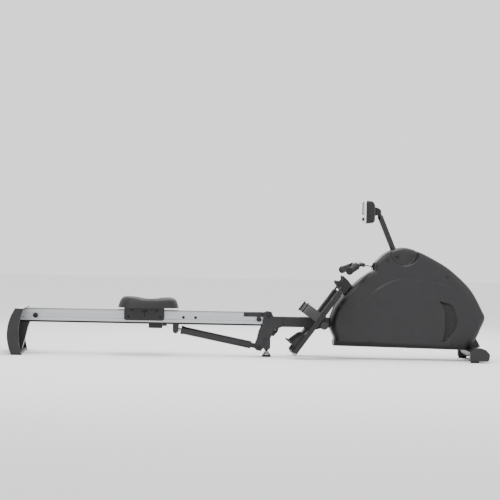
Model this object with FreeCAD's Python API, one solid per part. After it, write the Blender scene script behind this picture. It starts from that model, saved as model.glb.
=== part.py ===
import FreeCAD, Part
import math
import os

# A folding magnetic rowing machine in millimetres. X runs along the machine towards the drive housing,
# Y across it, Z up. The origin is on the floor under the middle of the whole machine.

V = FreeCAD.Vector
Y_AXIS = V(0, 1, 0)
BOTH_SIDES = (-1, 1)
CLEAR = 0.3  # running clearance between bodies that turn or slide on each other

# Overall
HALF_LENGTH = 1054.0
HALF_WIDTH = 260.0

# Rail and its fold hinge
RAIL_REAR = -1010.0
RAIL_FRONT = 72.0
RAIL_TOP = 200.0
RAIL_LIP = 176.0
RAIL_FLANGE = 158.0
RAIL_BOTTOM = 146.0
RAIL_STRIP_BOTTOM = 138.0
RAIL_HALF = 30.0
HINGE = (90.0, 185.0)
HINGE_PIN_R = 6.0
STOP_REAR_X = -941.0
STOP_FRONT_X = 48.0
STOP_Z = 167.0

# Lift strut: lower pivot on the frame, upper pivot on the rail
STRUT_LOW = (49.0, 45.0)
STRUT_HIGH = (-320.0, 118.0)
STRUT_TUBE_R = 17.0
STRUT_ROD_R = 7.0
FLUSH_HEAD = 1.2

# Seat
SEAT_MID_X = -443.0
SEAT_LENGTH = 274.0
SEAT_HALF_WIDTH = 150.0
SEAT_SKIRT_Z = 210.0
SEAT_TOP_Z = 262.0
CARRIAGE_REAR = -550.0
CARRIAGE_FRONT = -372.0
TOP_ROLLER_X = (-515.0, -406.0)
TOP_ROLLER_R = 14.0
LOW_ROLLER_X = (-531.0, -388.0)
LOW_ROLLER_R = 8.5

# Rear leg
REAR_PAD_H = 6.0

# Main beam
BEAM_HALF = 25.0
BEAM_TOP = 180.0
BEAM_BOTTOM = 135.0
LOW_BEAM_TOP = 104.0
LOW_BEAM_BOTTOM = 62.0

# Front stabiliser
STAB_X = 1008.0
STAB_Z = 40.0
STAB_HALF = 226.0
WHEEL_R = 20.0
WHEEL_X = HALF_LENGTH - WHEEL_R
WHEEL_Z = 32.0

# Footrests
PEDAL_AXLE = (330.0, 150.0)
PEDAL_AXLE_R = 12.0
PEDAL_HEEL = (194.0, 23.0)
PEDAL_SLOPE = 53.9
PEDAL_LENGTH = 346.0
PEDAL_Y = 145.0
PEDAL_HALF = 55.0
PEDAL_THICK = 14.0
STRAP_RISE = 78.0

# Shroud
SHROUD_HALF = 85.0
SHROUD_FLAT = 62.0
SHROUD_BEVEL = 14.0
WALL = 3.0

# Drive train
FLYWHEEL = (805.0, 270.0)
FLYWHEEL_R = 128.0
DRUM_R = 36.0
SHAFT_R = 8.0
PULLEY_R = 58.0
SMALL_PULLEY_R = 20.0
BELT_Y = 31.0
BELT_WIDTH = 10.0
BRAKE_PIVOT = (985.0, 165.0)

# Cord line: the handle slides along it, and it is tangent to the drum
CORD_ENTRY = (556.0, 409.0)
CORD_DIR = (0.9862, -0.1655)
CORD_R = 2.2
HANDLE_BACK = 67.0
CORD_INSIDE = 110.0

# Mast and console
MAST_PIVOT = (654.0, 458.0)
MAST_TOP = (572.0, 654.0)
MAST_R = 12.5
CONSOLE_X = (506.0, 553.0)
CONSOLE_Z = (600.0, 705.0)
CONSOLE_HALF = 85.0
BUTTON_Z = 620.0
BUTTON_Y = (-45.0, 0.0, 45.0)
BUTTON_R = 7.0


def box(x0, x1, y0, y1, z0, z1):
    return Part.makeBox(x1 - x0, y1 - y0, z1 - z0, V(x0, y0, z0))


def prism(points, y0, y1):
    """A polygon in the XZ plane, drawn out from y0 to y1."""
    corners = [V(x, y0, z) for x, z in points]
    return Part.Face(Part.makePolygon(corners + corners[:1])).extrude(V(0, y1 - y0, 0))


def pair(points, y0, y1):
    """The same prism on both sides of the middle plane."""
    return Part.makeCompound([prism(points, y0, y1), prism(points, -y1, -y0)])


def disc(at, radius, y0, y1):
    return Part.makeCylinder(radius, y1 - y0, V(at[0], y0, at[1]), Y_AXIS)


def disc_pair(at, radius, y0, y1):
    return Part.makeCompound([disc(at, radius, y0, y1), disc(at, radius, -y1, -y0)])


def rod(a, b, radius):
    """A round bar between two points in space."""
    a, b = V(*a), V(*b)
    return Part.makeCylinder(radius, (b - a).Length, a, b - a)


def rounded(shape, radius, axis):
    """Rounds the straight edges that run along one axis."""
    edges = []
    for edge in shape.Edges:
        along = edge.tangentAt(edge.FirstParameter).dot(axis)
        if isinstance(edge.Curve, Part.Line) and abs(along) > 0.999:
            edges.append(edge)
    return shape.makeFillet(radius, edges)


def slotted(shape, cuts):
    for cut in cuts:
        shape = shape.cut(cut)
    return shape


def joined(first, *others):
    return first.fuse(list(others)).removeSplitter()


def on_cord(distance, side=0.0):
    """A point on the cord line, measured from its entry; negative is towards the rower."""
    return (CORD_ENTRY[0] + distance * CORD_DIR[0], side, CORD_ENTRY[1] + distance * CORD_DIR[1])


def drum_centre():
    x, _, z = on_cord(CORD_INSIDE)
    return (x + DRUM_R * CORD_DIR[1], z - DRUM_R * CORD_DIR[0])


def strut_line(distance, side=0.0):
    """A point on the strut, measured from its lower pivot."""
    dx, dz = STRUT_HIGH[0] - STRUT_LOW[0], STRUT_HIGH[1] - STRUT_LOW[1]
    length = math.hypot(dx, dz)
    return (STRUT_LOW[0] + dx / length * distance, side, STRUT_LOW[1] + dz / length * distance)


# Rail body


def seat_rail():
    half = [
        (RAIL_HALF, RAIL_TOP),
        (RAIL_HALF, RAIL_LIP),
        (RAIL_HALF - 7, RAIL_LIP),
        (RAIL_HALF - 7, RAIL_FLANGE),
        (RAIL_HALF + 3, RAIL_FLANGE),
        (RAIL_HALF + 3, RAIL_BOTTOM),
    ]
    section = half + [(-y, z) for y, z in reversed(half)]
    corners = [V(RAIL_REAR, y, z) for y, z in section]
    length = V(RAIL_FRONT - RAIL_REAR, 0, 0)
    body = Part.Face(Part.makePolygon(corners + corners[:1])).extrude(length)
    bore = box(RAIL_REAR - 1, RAIL_FRONT + 1, -19, 19, RAIL_BOTTOM + 4, RAIL_TOP - 4)
    return body.cut(bore)


def rail_strip():
    return box(RAIL_REAR, RAIL_FRONT - 12, -26, 26, RAIL_STRIP_BOTTOM, RAIL_BOTTOM)


def rail_hardware():
    """End stops with rubber buffers, and the button screws of the strut bracket."""
    heads = []
    for x in (STOP_REAR_X, STOP_FRONT_X):
        heads.append(disc_pair((x, STOP_Z), 8.0, RAIL_HALF - 7, RAIL_HALF + 16))
    for x in (-287.0, -233.0):
        heads.append(disc_pair((x, STOP_Z + 2), 6.5, RAIL_HALF - 7, RAIL_HALF - 7 + FLUSH_HEAD))
    return Part.makeCompound(heads)


def rear_outline():
    """Side outline of the rear leg, bowed outwards, as arcs between a few points."""
    p = [
        V(-1019, 0, 203),
        V(-HALF_LENGTH + 0.63, 0, 74),
        V(-1036, 0, REAR_PAD_H),
        V(-990, 0, REAR_PAD_H),
        V(-1003, 0, 100),
        V(-984, 0, 200),
    ]
    back = Part.Arc(p[0], p[1], p[2]).toShape()
    foot = Part.LineSegment(p[2], p[3]).toShape()
    front = Part.Arc(p[3], p[4], p[5]).toShape()
    top = Part.LineSegment(p[5], p[0]).toShape()
    return Part.Face(Part.Wire([back, foot, front, top]))


def rear_leg_cover():
    """Moulded full-width leg: a bowed skin with closed ends, open towards the rail."""
    face = rear_outline()
    face.translate(V(0, -HALF_WIDTH, 0))
    body = face.extrude(V(0, 2 * HALF_WIDTH, 0))
    pocket = rear_outline()
    pocket.translate(V(6, -HALF_WIDTH + 10, -6))
    hollow = pocket.extrude(V(0, 2 * HALF_WIDTH - 20, 0))
    cut = hollow.common(box(-1100, -900, -300, 300, REAR_PAD_H + 5, 194))
    seat_for_rail = box(RAIL_REAR - 30, -900, -37, 37, 137, 200.5)
    return slotted(body, [cut, seat_for_rail, rear_leg_outline(0.2)])


def rear_leg_outline(grow):
    """The steel leg, from the rail's end to its foot."""
    outline = [
        (-1030, 192), (-1036, 40), (-1026, 14), (-1000, 16), (-987, 61), (-974, 118), (-967, 137.5),
        (-1011, 137.5), (-1011, 192),
    ]
    return prism(outline, -36 - grow, 36 + grow)


def rear_leg():
    """Steel centre leg from the rail's end down into the moulded cover."""
    return rear_leg_outline(0.0)


def rear_pads():
    pads = []
    for side in BOTH_SIDES:
        y = side * (HALF_WIDTH - 34)
        pads.append(box(-1036, -990, y - 34, y + 34, 0, REAR_PAD_H))
    return Part.makeCompound(pads)


def rail_bracket():
    """Side plates on the rail's front end that turn on the hinge pin, with a web across."""
    plate = [(-20, 196), (-20, 178), (60, 178), (78, 172), (104, 176), (104, 194), (96, 198.5), (60, 199)]
    bore = disc(HINGE, HINGE_PIN_R + CLEAR, -60, 60)
    return pair(plate, RAIL_HALF, RAIL_HALF + 4).cut(bore)


def strut_bracket():
    """Fork under the rail; its sides stand clear of the strut's eye, and stub bolts mark the pivot."""
    cheek = [(-334, 137.9), (-306, 137.9), (-309, 104), (-316, 98), (-325, 98), (-333, 104)]
    sides = pair(cheek, 24, 27)
    bridge = box(-334, -306, -24, 24, 134.9, 137.9)
    bolts = disc_pair(STRUT_HIGH, 7.0, 27, 32)
    return joined(bridge, *sides.Solids, *bolts.Solids)


def sensor_block():
    """Small block under the rail that holds the seat's magnet sensor, with its cable clip."""
    block = rounded(box(-441, -379, -17, 17, 119, 137.9), 5.0, Y_AXIS)
    return joined(block, box(-379, -360, -5, 5, 129, 137.9))


# Seat body


def seat_pad():
    x0, x1 = SEAT_MID_X - SEAT_LENGTH / 2, SEAT_MID_X + SEAT_LENGTH / 2
    rings = []
    for z, lift in ((SEAT_SKIRT_Z, 0), (SEAT_SKIRT_Z + 16, 2), (SEAT_TOP_Z, 26)):
        half = SEAT_HALF_WIDTH - lift
        ring = rounded(box(x0 + lift, x1 - lift, -half, half, z, z + 1), 44 - lift, V(0, 0, 1))
        base = [f for f in ring.Faces if abs(f.CenterOfMass.z - z) < 0.01]
        rings.append(base[0].OuterWire)
    body = Part.makeLoft(rings, True, True)
    dish = Part.makeSphere(560.0, V(SEAT_MID_X, 0, SEAT_TOP_Z - 19 + 560.0))
    pocket = box(CARRIAGE_REAR - 4, CARRIAGE_FRONT + 4, -58, 58, SEAT_SKIRT_Z - 5, 235)
    return slotted(body, [dish, pocket])


def seat_pan():
    """Folded steel pan that carries the pad on the carriage."""
    return rounded(box(CARRIAGE_REAR, CARRIAGE_FRONT, -46, 46, 230.5, 235), 8.0, V(0, 0, 1))


def carriage_sides():
    """Side plates with axle bores and a T-shaped slot."""
    plate = [
        (CARRIAGE_REAR, 230.5),
        (CARRIAGE_REAR, 158),
        (CARRIAGE_REAR + 8, 153),
        (CARRIAGE_FRONT - 8, 153),
        (CARRIAGE_FRONT, 158),
        (CARRIAGE_FRONT, 230.5),
    ]
    cuts = [box(-474, -446, -60, 60, 194, 198), box(-462, -458, -60, 60, 170, 194)]
    for x in TOP_ROLLER_X:
        cuts.append(disc((x, RAIL_TOP + CLEAR + TOP_ROLLER_R), 4.0, -60, 60))
    for x in LOW_ROLLER_X:
        cuts.append(disc((x, (RAIL_LIP + RAIL_FLANGE) / 2), 4.0, -60, 60))
    return slotted(pair(plate, 38, 43), cuts)


def roller_axles():
    axles = []
    for x in TOP_ROLLER_X:
        axles.append(disc((x, RAIL_TOP + CLEAR + TOP_ROLLER_R), 4.0, -45, 45))
    for x in LOW_ROLLER_X:
        at = (x, (RAIL_LIP + RAIL_FLANGE) / 2)
        axles.append(disc_pair(at, 4.0, 24.5, 43))
        axles.append(disc_pair(at, 7.0, 43, 46))
    return Part.makeCompound(axles)


def top_roller(x):
    at = (x, RAIL_TOP + CLEAR + TOP_ROLLER_R)
    tread = disc(at, TOP_ROLLER_R, -26, 26)
    return slotted(tread, [disc(at, 4.0 + CLEAR, -30, 30)])


def low_rollers(x):
    at = (x, (RAIL_LIP + RAIL_FLANGE) / 2)
    return disc_pair(at, LOW_ROLLER_R, 25, 36).cut(disc(at, 4.0 + CLEAR, -60, 60))


# Strut


def strut_cylinder():
    tube = rod(strut_line(34), strut_line(348), STRUT_TUBE_R)
    collar = rod(strut_line(340), strut_line(352), STRUT_TUBE_R + 2)
    neck = rod(strut_line(8), strut_line(36), 11.0)
    eye = disc(STRUT_LOW, 18.0, -12, 12)
    body = joined(tube, collar, neck, eye)
    bore = rod(strut_line(150), strut_line(360), STRUT_ROD_R + CLEAR)
    return slotted(body, [bore, disc(STRUT_LOW, 6.0 + CLEAR, -20, 20)])


def strut_rod():
    length = math.hypot(STRUT_HIGH[0] - STRUT_LOW[0], STRUT_HIGH[1] - STRUT_LOW[1])
    return joined(rod(strut_line(152), strut_line(length), STRUT_ROD_R), disc(STRUT_HIGH, 11.0, -8, 8))


# Frame body


def main_beam():
    """Box-section beam: level behind the housing, then low through it to the front stabiliser."""
    outline = [
        (118, BEAM_TOP),
        (430, BEAM_TOP),
        (560, LOW_BEAM_TOP),
        (1015, LOW_BEAM_TOP),
        (1028, LOW_BEAM_BOTTOM),
        (548, LOW_BEAM_BOTTOM),
        (418, BEAM_BOTTOM),
        (118, BEAM_BOTTOM),
    ]
    body = prism(outline, -BEAM_HALF, BEAM_HALF)
    return body.cut(disc(PEDAL_AXLE, PEDAL_AXLE_R, -60, 60))


def fold_yoke():
    """Two steel cheeks that hold the fold hinge, the middle leg and the strut's lower pivot."""
    cheek = [
        (71, 192),
        (60, 138),
        (50, 114),
        (42, 79),
        (32, 52),
        (36, 32),
        (58, 26),
        (70, 40),
        (70, 84),
        (101, 84),
        (112, 118),
        (150, 136),
        (150, 178),
        (112, 180),
        (104, 200),
        (84, 203),
    ]
    bores = [disc(HINGE, HINGE_PIN_R, -60, 60), disc(STRUT_LOW, 6.0, -60, 60)]
    return slotted(pair(cheek, 37, 42), bores)


def yoke_block():
    """Welded block that ties the cheeks to the beam, under the rail's sweep."""
    return box(118.2, 150, BEAM_HALF, 37, 138, 176).fuse(box(118.2, 150, -37, -BEAM_HALF, 138, 176))


def pivot_pins():
    """Fold hinge pin, strut pin, latch pin and the transport wheel axles."""
    pins = [
        disc(HINGE, HINGE_PIN_R, -48, 48),
        disc_pair(HINGE, 11.0, 42, 47),
        disc(STRUT_LOW, 6.0, -47, 47),
        disc_pair(STRUT_LOW, 10.0, 42, 46),
        latch_pin(),
    ]
    for side in BOTH_SIDES:
        y = side * (STAB_HALF + 14)
        pins.append(disc((WHEEL_X, WHEEL_Z), 4.0, y - 13, y + 13))
    return Part.makeCompound(pins)


def middle_leg():
    """Post under the yoke, threaded for the levelling foot."""
    post = box(69.5, 100.5, -36.7, 36.7, 37, 84)
    neck = Part.makeCylinder(11.0, 6.0, V(85, 0, 31))
    bore = Part.makeCylinder(6.0 + CLEAR, 40.0, V(85, 0, 30))
    return joined(rounded(post, 4.0, Y_AXIS), neck).cut(bore)


def leveller_foot():
    pad = Part.makeCylinder(20.0, 9.0, V(85, 0, 0)).fuse(Part.makeCone(18, 11, 9, V(85, 0, 9)))
    return joined(pad, Part.makeCylinder(6.0, 46.0, V(85, 0, 18)))


def front_stabilizer():
    flat = box(STAB_X - 13, STAB_X + 13, -STAB_HALF, STAB_HALF, 18, 61.9)
    ends = [Part.makeCylinder(21.95, 2 * STAB_HALF, V(x, -STAB_HALF, 39.95), Y_AXIS) for x in (STAB_X - 13, STAB_X + 13)]
    return joined(flat, *ends)


def stabilizer_bracket():
    """Plates from the low beam down over the stabiliser tube."""
    return pair([(972, 62), (982, 103.8), (1014, 103.8), (1037, 62)], BEAM_HALF, BEAM_HALF + 4)


def stabilizer_caps():
    """Moulded end caps with a fork in front for the transport wheels."""
    outline = [(966, 8), (1046, 8), (1051, 20), (1051, 40), (1036, 58), (1020, 64), (986, 64), (972, 56), (966, 40)]
    caps = []
    for side in BOTH_SIDES:
        inner, outer = sorted((side * STAB_HALF, side * HALF_WIDTH))
        cap = rounded(prism(outline, inner, outer), 3.0, Y_AXIS)
        y = side * (STAB_HALF + 14)
        cap = slotted(cap, [disc((WHEEL_X, WHEEL_Z), WHEEL_R + 2.5, y - 10, y + 10)])
        caps.append(cap.cut(disc((WHEEL_X, WHEEL_Z), 4.0, y - 13, y + 13)))
    return Part.makeCompound(caps)


def front_pads():
    pads = []
    for side in BOTH_SIDES:
        y = side * (HALF_WIDTH - 17)
        pads.append(rounded(box(970, 1006, y - 15, y + 15, 0, 8), 4.0, V(0, 0, 1)))
    return Part.makeCompound(pads)


def transport_wheel(side):
    at = (WHEEL_X, WHEEL_Z)
    y = side * (STAB_HALF + 14)
    return disc(at, WHEEL_R, y - 9, y + 9).cut(disc(at, 4.0 + CLEAR, y - 20, y + 20))


def moved_inwards(points, inset):
    """The corners of a closed outline, clockwise, each moved in from both of its sides."""
    moved = []
    for before, at, after in zip(points[-1:] + points[:-1], points, points[1:] + points[:1]):
        first, second = V(at[0] - before[0], 0, at[1] - before[1]), V(after[0] - at[0], 0, after[1] - at[1])
        first.normalize()
        second.normalize()
        normal = V(first.z + second.z, 0, -first.x - second.x)
        reach = 2 * inset / max(normal.dot(normal), 1.0)
        moved.append((at[0] + normal.x * reach, at[1] + normal.z * reach))
    return moved


def shroud_outline(inset):
    """Side outline of the housing, drawn in by an even inset."""
    crown = [
        (561, 430), (596, 464), (631, 485), (684, 496), (742, 483), (808, 453), (894, 401),
        (983, 317), (1037, 224), (1049, 189), (1032, 145), (1012, 100), (973, 49),
    ]
    shoulder = [(379, 58), (383, 90), (366, 132), (364, 168), (374, 204), (395, 246), (460, 322), (530, 380), (557, 393)]
    moved = [V(x, 0, z) for x, z in moved_inwards(crown + shoulder, inset)]
    top, front = moved[: len(crown)], moved[len(crown) :]
    edges = []
    for points in (top, [top[-1], front[0]], front, [front[-1], top[0]]):
        curve = Part.BSplineCurve()
        curve.interpolate(points)
        edges.append(curve.toShape())
    return Part.Wire(edges)


def shroud_layer(inset, y0, y1, taper):
    """A straight run of the housing from y0, then a bevelled side that ends at y1."""
    flat = shroud_outline(inset)
    side = 1 if y1 > y0 else -1
    knee = y1 - side * (SHROUD_HALF - SHROUD_FLAT)
    straight = Part.Face(flat)
    straight.translate(V(0, y0, 0))
    body = straight.extrude(V(0, knee - y0, 0))
    lower, upper = shroud_outline(inset), shroud_outline(inset + taper)
    lower.translate(V(0, knee, 0))
    upper.translate(V(0, y1, 0))
    return body.fuse(Part.makeLoft([lower, upper], True, True))


def vent_face(grow):
    """Crescent outline of the side vent."""
    outer = Part.Arc(V(886 - grow, 0, 268 + grow), V(932 + grow, 0, 186), V(874 - grow, 0, 92 - grow)).toShape()
    inner = Part.Arc(V(874 - grow, 0, 92 - grow), V(893 - grow, 0, 180), V(886 - grow, 0, 268 + grow)).toShape()
    return Part.Face(Part.Wire([outer, inner]))


def shroud_half(side):
    outer = shroud_layer(0.0, 0.0, side * SHROUD_HALF, SHROUD_BEVEL)
    inner = shroud_layer(WALL, -side * 1.0, side * (SHROUD_HALF - WALL), SHROUD_BEVEL)
    window = vent_face(0.0)
    window.translate(V(0, side * 60, 0))
    cuts = [
        inner,
        window.extrude(V(0, side * 40, 0)),
        box(340, 460, -BEAM_HALF - 1, BEAM_HALF + 1, BEAM_BOTTOM - 15, BEAM_TOP + 2),
        box(940, 1060, -BEAM_HALF - 5, BEAM_HALF + 5, 40, 118),
        box(612, 676, -17, 17, 440, 510),
        box(545, 575, -21, 21, 394, 428),
        box(966, 1060, -SHROUD_HALF, SHROUD_HALF, 40, 64),
        shroud_screws(),
    ]
    return slotted(outer, cuts)


def shroud_base():
    return box(400, 950, -58, 58, 62.5, 65.5).cut(box(530, 1000, -26, 26, 50, 70))


def shroud_vents():
    plates = []
    for side in BOTH_SIDES:
        face = vent_face(3.0)
        face.translate(V(0, side * (SHROUD_HALF - WALL - 0.2), 0))
        plates.append(face.extrude(V(0, -side * 2.0, 0)))
    return Part.makeCompound(plates)


def shroud_screws():
    heads = []
    for at in ((610, 441), (877, 372), (408, 232), (539, 78), (903, 72)):
        heads.append(disc_pair(at, 6.0, SHROUD_FLAT - 2, SHROUD_HALF - 2))
    return Part.makeCompound(heads)


def cord_guide():
    """Bezel in the notch of the housing, bored along the cord."""
    plate = rounded(box(551, 564, -20, 20, 395, 427), 3.0, Y_AXIS)
    lip = rod(on_cord(-10), on_cord(4), 9.0)
    return joined(plate, lip).cut(rod(on_cord(-30), on_cord(30), CORD_R + 1.2))


def handle_rest():
    """Cradle on the housing's shoulder, with two hooked cheeks for parking the handle."""
    cheek = [(382, 339), (417, 368), (440, 347), (457, 325), (450, 317), (420, 283), (414, 289)]
    notch = disc((401, 355), 13.0, -90, 90)
    saddle = prism([(420, 283), (450, 317), (457, 325), (452, 332), (414, 289)], -62, 62)
    return joined(saddle, *pair(cheek, 50, 62).Solids).cut(notch)


def footrest_axle():
    bar = disc(PEDAL_AXLE, PEDAL_AXLE_R, -206, 206)
    return joined(bar, *disc_pair(PEDAL_AXLE, 17.0, 206, 212).Solids)


def drive_frame():
    """Two side plates on a base plate that carry the drive shafts and the mast pivot."""
    base = box(600, 1000, -50, 50, LOW_BEAM_TOP, LOW_BEAM_TOP + 4)
    z = LOW_BEAM_TOP + 4
    uprights = [
        [(600, z), (720, z), (690, 340), (668, 466), (660, 476), (648, 476), (640, 466), (628, 340)],
        [(770, z), (840, z), (822, 280), (812, 290), (798, 290), (788, 280)],
        [(960, z), (1000, z), (996, 172), (990, 178), (980, 178), (974, 172)],
    ]
    plates = []
    for outline in uprights:
        plates.extend(pair(outline, 46, 50).Solids)
    body = joined(base, *plates)
    for at, radius in ((FLYWHEEL, SHAFT_R), (drum_centre(), SHAFT_R), (BRAKE_PIVOT, 5.0), (MAST_PIVOT, 5.0)):
        body = body.cut(disc(at, radius, -60, 60))
    return body


def drive_shafts():
    shafts = [disc(at, SHAFT_R, -54, 54) for at in (FLYWHEEL, drum_centre())]
    pins = [disc(at, 5.0, -54, 54) for at in (BRAKE_PIVOT, MAST_PIVOT)]
    return Part.makeCompound(shafts + pins)


def flywheel():
    rim = disc(FLYWHEEL, FLYWHEEL_R, -12, 12).cut(disc(FLYWHEEL, FLYWHEEL_R - 34, -20, 20))
    web = disc(FLYWHEEL, FLYWHEEL_R - 34, -4, 4)
    hub = disc(FLYWHEEL, 26, -20, 20)
    pulley = disc(FLYWHEEL, SMALL_PULLEY_R, 20, BELT_Y + BELT_WIDTH + 2)
    return joined(rim, web, hub, pulley).cut(disc(FLYWHEEL, SHAFT_R + CLEAR, -60, 60))


def drive_drum():
    at = drum_centre()
    core = disc(at, DRUM_R - CORD_R - 0.5, -13, 13)
    flanges = disc_pair(at, 50, 13, 16).Solids
    pulley = disc(at, PULLEY_R, BELT_Y, BELT_Y + BELT_WIDTH)
    hub = disc(at, 22, 16, BELT_Y)
    return joined(core, hub, pulley, *flanges).cut(disc(at, SHAFT_R + CLEAR, -60, 60))


def belt_loop(extra, y0, y1):
    """Everything inside a belt line that stands a little off both pulleys."""
    a, b = drum_centre(), FLYWHEEL
    ra, rb = PULLEY_R + extra, SMALL_PULLEY_R + extra
    along = math.atan2(b[1] - a[1], b[0] - a[0])
    lean = math.acos((ra - rb) / math.hypot(b[0] - a[0], b[1] - a[1]))
    corners = []
    for centre, radius, sign in ((a, ra, 1), (b, rb, 1), (b, rb, -1), (a, ra, -1)):
        angle = along + sign * lean
        corners.append((centre[0] + radius * math.cos(angle), centre[1] + radius * math.sin(angle)))
    return joined(disc(a, ra, y0, y1), disc(b, rb, y0, y1), prism(corners, y0, y1))


def drive_belt():
    y0, y1 = BELT_Y + 1, BELT_Y + BELT_WIDTH - 1
    return belt_loop(CLEAR + 2.5, y0, y1).cut(belt_loop(CLEAR, y0 - 1, y1 + 1))


def brake_magnets():
    """Magnet arm that straddles the flywheel's rim and swings about its pin."""
    cheek = [(910, 188), (976, 152), (996, 152), (998, 178), (938, 240), (918, 236)]
    arms = pair(cheek, 16, 21)
    web = box(979, 991, -16, 16, 159, 171)
    return joined(web, *arms.Solids).cut(disc(BRAKE_PIVOT, 5.0 + CLEAR, -60, 60))


# Small moving pieces of the frame


def latch_lever():
    """Bent release lever beside the yoke, with its pull rod."""
    lever = [(133, 142), (142, 139), (137, 112), (118, 90), (108, 92), (104, 112), (108, 120), (126, 118)]
    plate = rounded(prism(lever, 46, 52), 2.0, Y_AXIS)
    return joined(plate, rod((109, 44, 112), (109, 52, 112), 6.0)).cut(disc((109, 112), 3.0, 40, 60))


def latch_pin():
    return joined(disc((109, 112), 2.7, 42, 56), disc((109, 112), 5.5, 52.5, 56))


# Footrests, drawn flat and then set on the slope


def on_slope(shape, side):
    shape.translate(V(PEDAL_HEEL[0], side * PEDAL_Y, PEDAL_HEEL[1]))
    shape.rotate(V(PEDAL_HEEL[0], 0, PEDAL_HEEL[1]), Y_AXIS, -PEDAL_SLOPE)
    return shape


def pedal_pivot():
    """The axle's place along and below the flat plate."""
    angle = math.radians(PEDAL_SLOPE)
    dx, dz = PEDAL_AXLE[0] - PEDAL_HEEL[0], PEDAL_AXLE[1] - PEDAL_HEEL[1]
    return (dx * math.cos(angle) + dz * math.sin(angle), dz * math.cos(angle) - dx * math.sin(angle))


def footplate(side):
    along, below = pedal_pivot()
    plate = rounded(box(0, PEDAL_LENGTH, -PEDAL_HALF, PEDAL_HALF, -PEDAL_THICK, 0), 20.0, V(0, 0, 1))
    strip = box(190, 362, -18, 18, 0, 6)
    knuckle = disc((along, below), 19.0, -34, 34)
    web = prism([(along - 40, -PEDAL_THICK), (along - 14, below), (along + 14, below), (along + 40, -PEDAL_THICK)], -34, 34)
    body = joined(plate, strip, knuckle, web)
    return on_slope(body.cut(disc((along, below), PEDAL_AXLE_R + CLEAR, -60, 60)), side)


def heel_cup(side):
    """Sliding heel rest with low side walls."""
    sole = box(30, 120, -40, 40, 0.4, 5)
    back = box(30, 38, -40, 40, 5, 46)
    walls = prism([(38, 5), (104, 5), (86, 20), (38, 34)], -40, -35)
    other = prism([(38, 5), (104, 5), (86, 20), (38, 34)], 35, 40)
    return on_slope(joined(sole, back, walls, other), side)


def foot_strap(side):
    """Webbing arch over the instep, fixed to the plate's edges."""
    band = []
    for half, rise in ((PEDAL_HALF, STRAP_RISE), (PEDAL_HALF - 3, STRAP_RISE - 3)):
        ellipse = Part.Ellipse(V(0, 0, 0), rise, half).toShape()
        solid = Part.Face(Part.Wire(ellipse)).extrude(V(0, 0, 46))
        solid.rotate(V(0, 0, 0), Y_AXIS, 90)
        solid.translate(V(172, 0, 0))
        band.append(solid)
    ring = band[0].cut(band[1])
    return on_slope(ring.common(box(100, 300, -80, 80, 0, 120)), side)


# Mast and console


def along_mast(distance):
    dx, dz = MAST_TOP[0] - MAST_PIVOT[0], MAST_TOP[1] - MAST_PIVOT[1]
    length = math.hypot(dx, dz)
    return (MAST_PIVOT[0] + dx / length * distance, 0, MAST_PIVOT[1] + dz / length * distance)


def mast():
    length = math.hypot(MAST_TOP[0] - MAST_PIVOT[0], MAST_TOP[1] - MAST_PIVOT[1])
    tube = rod(along_mast(0), along_mast(length - 20), MAST_R)
    tongue = rod(along_mast(length - 24), along_mast(length), 9.5)
    boss = disc(MAST_PIVOT, 16.0, -14, 14)
    knuckle = disc(MAST_TOP, 11.0, -10, 10)
    cuts = [disc(MAST_PIVOT, 5.0 + CLEAR, -30, 30), disc(MAST_TOP, 4.0 + CLEAR, -30, 30)]
    return slotted(joined(tube, tongue, boss, knuckle), cuts)


def console_body():
    """Back half of the console, with two ears and a pin on the mast's top."""
    x0, x1 = CONSOLE_X
    z0, z1 = CONSOLE_Z
    outline = [(x0 + 6, z0), (x1 - 14, z0 + 6), (x1, z0 + 26), (x1, z1 - 22), (x1 - 14, z1 - 5), (x0 + 6, z1)]
    shell = prism(outline, -CONSOLE_HALF, CONSOLE_HALF)
    for y in BUTTON_Y:
        shell = shell.cut(Part.makeCylinder(BUTTON_R + 1, 8, V(x0 + 5, y, BUTTON_Z), V(1, 0, 0)))
    ears = pair([(x1 - 2, 640), (x1 - 2, 672), (580, 664), (584, 654), (580, 644)], 10.5, 15).Solids
    relief = disc(MAST_TOP, 12.0, -10.4, 10.4)
    pin = disc(MAST_TOP, 4.0, -16, 16)
    return joined(shell.cut(relief), pin, *ears)


def console_bezel():
    x0 = CONSOLE_X[0]
    z0, z1 = CONSOLE_Z
    plate = rounded(box(x0, x0 + 6, -CONSOLE_HALF, CONSOLE_HALF, z0, z1), 14.0, V(1, 0, 0))
    screen = box(x0 - 1, x0 + 2, -62, 62, 642, 694)
    cuts = [screen] + [Part.makeCylinder(BUTTON_R + 0.5, 20, V(x0 - 5, y, BUTTON_Z), V(1, 0, 0)) for y in BUTTON_Y]
    return slotted(plate, cuts)


def button(y):
    return Part.makeCylinder(BUTTON_R, 8.5, V(CONSOLE_X[0] - 2.5, y, BUTTON_Z), V(1, 0, 0))


# Handle


def handle_points():
    x, _, z = on_cord(-HANDLE_BACK)
    return [(x, 0, z), (x, 60, z), (x - 20, 112, z - 10), (x - 56, 236, z - 28)]


def handle_bar():
    pieces = []
    points = handle_points()
    for side in BOTH_SIDES:
        corners = [(x, side * y, z) for x, y, z in points]
        for start, end in zip(corners, corners[1:]):
            pieces.append(rod(start, end, 11.0))
        for bend in corners[1:-1]:
            pieces.append(Part.makeSphere(11.0, V(*bend)))
    anchor = rod(on_cord(-HANDLE_BACK), on_cord(-HANDLE_BACK + 27), 9.0)
    return joined(anchor, *pieces)


def handle_grips():
    """Foam grips round the bar's ends, each with a plug on its tip."""
    grips = []
    for side in BOTH_SIDES:
        start, end = [V(x, side * y, z) for x, y, z in handle_points()[2:]]
        step = (end - start).normalize()
        sleeve = rod(start, end, 14.5).cut(rod(start - step * 5, end + step * 5, 11.0))
        grips.extend([sleeve, rod(end, end + step * 11, 15.5)])
    return Part.makeCompound(grips)


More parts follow.
